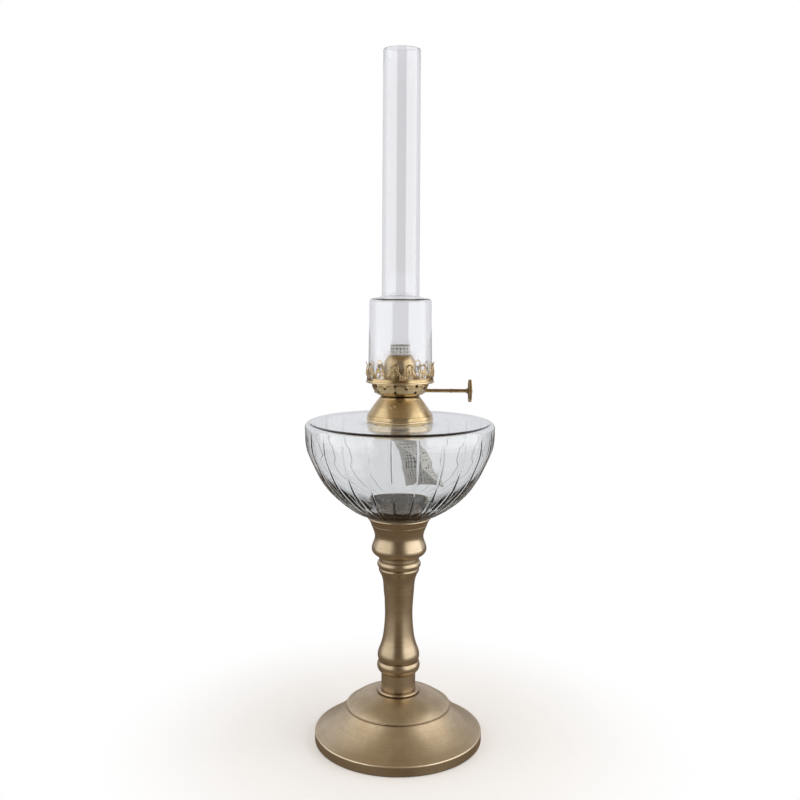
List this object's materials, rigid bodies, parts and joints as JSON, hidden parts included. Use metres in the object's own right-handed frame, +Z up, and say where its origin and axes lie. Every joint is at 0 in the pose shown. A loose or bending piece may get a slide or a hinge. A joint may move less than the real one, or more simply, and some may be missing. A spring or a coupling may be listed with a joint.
{
  "type": "oil lamp",
  "caption": "Table oil lamp: turned brass stand, round glass font, round-wick burner with pronged gallery, winder knob and tall glass chimney.",
  "frame": {"origin": "centre of the foot's underside, on the surface that the lamp stands on", "axes": "+Z up the lamp, +X along the winder spindle towards its knob, -Y towards the viewer"},
  "size_m": [0.1558, 0.1558, 0.5676],
  "materials": {
    "cast_brass": "satin, aged brown brass, turned and cast",
    "burner_brass": "bright pressed sheet brass",
    "steel": "plain steel fastenings",
    "font_glass": "clear blown glass with upright optic ribs",
    "chimney_glass": "thin clear glass",
    "cement": "matt bedding cement",
    "seal": "matt sealing ring",
    "wick_cotton": "open woven cotton tape"
  },
  "bodies": {
    "stand": {"foot": "cast_brass", "foot_ring": "cast_brass", "column_sleeve": "cast_brass", "lower_ring": "cast_brass", "baluster": "cast_brass", "upper_ring": "cast_brass", "cup": "cast_brass", "tie_rod": "steel", "foot_washer": "steel", "foot_nut": "steel", "cup_washer": "steel", "cup_nut": "steel", "font": "font_glass", "font_cement": "cement", "font_collar": "burner_brass", "collar_cement": "cement"},
    "seal": {"seal_ring": "seal"},
    "burner": {"burner_rim": "burner_brass", "burner_cone": "burner_brass", "cone_button": "burner_brass", "basket": "burner_brass", "gallery": "burner_brass", "crown": "burner_brass", "air_cone": "burner_brass", "wick_tube": "burner_brass", "air_tube": "burner_brass", "spindle_bushes": "burner_brass"},
    "winder": {"spindle": "burner_brass", "spindle_ferrule": "burner_brass", "spindle_nub": "burner_brass", "knob": "burner_brass", "knob_rivet": "burner_brass", "wick_wheels": "burner_brass"},
    "wick": {"wick": "wick_cotton"},
    "chimney": {"chimney": "chimney_glass"}
  },
  "joints": [
    {"name": "burner_rise", "type": "slide", "parent": "stand", "child": "seal", "axis": [0, 0, 1], "range_m": [0, 0.00602]},
    {"name": "burner_turn", "type": "hinge", "parent": "seal", "child": "burner", "pos_m": [0, 0, 0.2795], "axis": [0, 0, 1], "range_deg": [0, 1080]},
    {"name": "winder_turn", "type": "hinge", "parent": "burner", "child": "winder", "pos_m": [0, 0.011, 0.2966], "axis": [1, 0, 0], "range_deg": [-122, 152]},
    {"name": "wick_travel", "type": "slide", "parent": "burner", "child": "wick", "axis": [0, 0, 1], "range_m": [-0.0075, 0.006]},
    {"name": "chimney_lift", "type": "slide", "parent": "burner", "child": "chimney", "axis": [0, 0, 1], "range_m": [0, 0.06]}
  ],
  "couplings": [
    {"joint": "burner_rise", "follows": "burner_turn", "m_per_rad": 0.00031831},
    {"joint": "wick_travel", "follows": "winder_turn", "m_per_rad": -0.0028}
  ]
}
